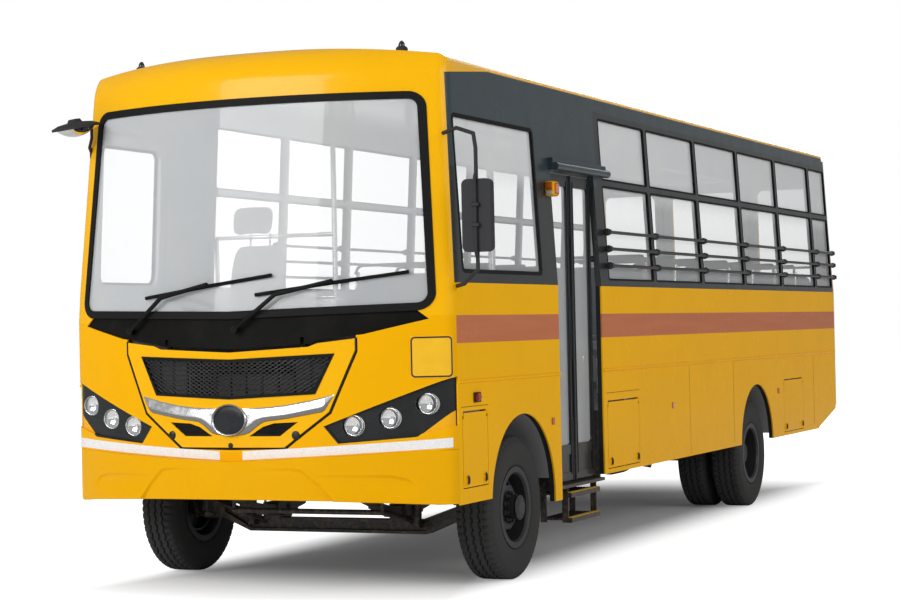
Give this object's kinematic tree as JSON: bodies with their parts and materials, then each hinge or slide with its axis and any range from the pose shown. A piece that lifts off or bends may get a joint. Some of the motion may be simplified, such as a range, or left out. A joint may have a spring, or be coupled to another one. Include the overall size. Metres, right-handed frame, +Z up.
{
  "type": "school bus",
  "caption": "Full-size school bus with a bowed front, framed side windows with guard bars, a folding entry door, opening hatches, steered front wheels and twin rear wheels.",
  "frame": {"origin": "on the ground under the middle of the bus with its mirrors: halfway between bumper and rear door handle and halfway between the outer edges of the two mirrors, so the body's own centre plane lies at x = -0.108 m", "axes": "+Z up, +Y towards the tail, +X to the bus's own left"},
  "size_m": [2.7394, 9.276, 3.1112],
  "materials": {
    "chassis_black": "satin black chassis paint",
    "engine_iron": "plain cast block",
    "bus_yellow": "gloss yellow paint",
    "band_slate": "slate grey paint",
    "trim_black": "black moulded plastic",
    "seal_rubber": "black rubber",
    "glass_clear": "clear glass",
    "bar_black": "black painted tube",
    "chrome_trim": "polished chrome",
    "lamp_bowl": "bright lamp bowl",
    "lamp_amber": "amber and red lens",
    "mirror_face": "mirror glass",
    "tyre": "black tyre",
    "wheel_black": "black painted steel wheel",
    "floor_grey": "grey floor covering",
    "step_metal": "black steps with yellow nosings",
    "seat_cloth": "grey seat cover",
    "dash_plastic": "grey moulded dashboard",
    "rail_steel": "plain steel tube"
  },
  "bodies": {
    "bus_body": {"front_surround": "bus_yellow", "front_fascia": "bus_yellow", "front_cowl": "trim_black", "windshield_gasket": "seal_rubber", "windshield_glass": "glass_clear", "front_bumper": "bus_yellow", "headlamp_housings": "trim_black", "headlamp_reflectors": "lamp_bowl", "side_panel_left": "bus_yellow", "side_panel_right": "bus_yellow", "window_band_left": "band_slate", "window_band_right": "band_slate", "cabin_glass": "glass_clear", "roof_shell": "bus_yellow", "rear_panel": "bus_yellow", "guard_bars": "bar_black", "mirror_arms": "trim_black", "mirror_glasses": "mirror_face", "wipers": "trim_black", "marker_lamps": "lamp_amber", "chassis_frame": "chassis_black", "cabin_floor": "floor_grey", "cab_floor": "floor_grey", "entry_floor": "floor_grey", "engine_block": "engine_iron", "entry_steps": "step_metal", "front_axle": "chassis_black", "rear_axle": "chassis_black", "fuel_tank": "chassis_black", "exhaust": "chassis_black", "passenger_seats": "seat_cloth", "driver_seat": "seat_cloth", "dashboard": "dash_plastic", "steering_wheel": "trim_black", "grab_rails": "rail_steel"},
    "front_lid": {"front_hatch": "bus_yellow", "hatch_grille": "trim_black", "hatch_trim": "chrome_trim"},
    "skirt_lid_front": {"skirt_hatch_front": "bus_yellow"},
    "skirt_lid_middle": {"skirt_hatch_middle": "bus_yellow"},
    "skirt_lid_rear": {"skirt_hatch_rear": "bus_yellow"},
    "driver_door": {"driver_door": "bus_yellow", "driver_door_glass": "glass_clear"},
    "emergency_door": {"emergency_door": "bus_yellow", "emergency_glass": "glass_clear"},
    "door_front_leaf": {"door_leaf_front": "band_slate", "door_glass_front": "glass_clear"},
    "door_rear_leaf": {"door_leaf_rear": "band_slate", "door_glass_rear": "glass_clear"},
    "steer_left": {"knuckle_left": "chassis_black"},
    "steer_right": {"knuckle_right": "chassis_black"},
    "front_wheel_left": {"tyre_front_left": "tyre", "wheel_front_left": "wheel_black"},
    "front_wheel_right": {"tyre_front_right": "tyre", "wheel_front_right": "wheel_black"},
    "rear_wheel_left": {"tyre_rear_left": "tyre", "wheel_rear_left": "wheel_black"},
    "rear_wheel_right": {"tyre_rear_right": "tyre", "wheel_rear_right": "wheel_black"}
  },
  "joints": [
    {"name": "front_lid_lift", "type": "hinge", "parent": "bus_body", "child": "front_lid", "pos_m": [-0.10815, -4.483, 1.44], "axis": [-1, 0, 0], "range_deg": [0, 50]},
    {"name": "driver_door_swing", "type": "hinge", "parent": "bus_body", "child": "driver_door", "pos_m": [-1.34015, -4.121, 1.5], "axis": [0, 0, 1], "range_deg": [0, 65]},
    {"name": "emergency_door_swing", "type": "hinge", "parent": "bus_body", "child": "emergency_door", "pos_m": [0.31485, 4.614, 1.5], "axis": [0, 0, -1], "range_deg": [0, 95]},
    {"name": "door_front_fold", "type": "hinge", "parent": "bus_body", "child": "door_front_leaf", "pos_m": [1.03185, -2.621, 1.4], "axis": [0, 0, 1], "range_deg": [0, 80]},
    {"name": "door_rear_fold", "type": "hinge", "parent": "door_front_leaf", "child": "door_rear_leaf", "pos_m": [1.05285, -2.2425, 1.4], "axis": [0, 0, -1], "range_deg": [0, 160]},
    {"name": "steer_left", "type": "hinge", "parent": "bus_body", "child": "steer_left", "pos_m": [0.82185, -3.258, 0.424], "axis": [0, 0, 1], "range_deg": [-32, 32]},
    {"name": "steer_right", "type": "hinge", "parent": "bus_body", "child": "steer_right", "pos_m": [-1.03815, -3.258, 0.424], "axis": [0, 0, 1], "range_deg": [-32, 32]},
    {"name": "spin_front_left", "type": "hinge", "parent": "steer_left", "child": "front_wheel_left", "pos_m": [0.94435, -3.258, 0.424], "axis": [1, 0, 0], "continuous": true},
    {"name": "spin_front_right", "type": "hinge", "parent": "steer_right", "child": "front_wheel_right", "pos_m": [-1.16065, -3.258, 0.424], "axis": [1, 0, 0], "continuous": true},
    {"name": "spin_rear_left", "type": "hinge", "parent": "bus_body", "child": "rear_wheel_left", "pos_m": [0.80435, 1.799, 0.424], "axis": [1, 0, 0], "continuous": true},
    {"name": "spin_rear_right", "type": "hinge", "parent": "bus_body", "child": "rear_wheel_right", "pos_m": [-1.02065, 1.799, 0.424], "axis": [1, 0, 0], "continuous": true},
    {"name": "skirt_lid_front_lift", "type": "hinge", "parent": "bus_body", "child": "skirt_lid_front", "pos_m": [1.10185, -3.983, 1.009], "axis": [0, -1, 0], "range_deg": [0, 100]},
    {"name": "skirt_lid_middle_lift", "type": "hinge", "parent": "bus_body", "child": "skirt_lid_middle", "pos_m": [1.10185, -1.473, 0.972], "axis": [0, -1, 0], "range_deg": [0, 100]},
    {"name": "skirt_lid_rear_lift", "type": "hinge", "parent": "bus_body", "child": "skirt_lid_rear", "pos_m": [1.10185, 2.942, 0.972], "axis": [0, -1, 0], "range_deg": [0, 100]}
  ],
  "couplings": [
    {"joint": "steer_right", "follows": "steer_left", "ratio": 1},
    {"joint": "door_rear_fold", "follows": "door_front_fold", "ratio": 2}
  ]
}
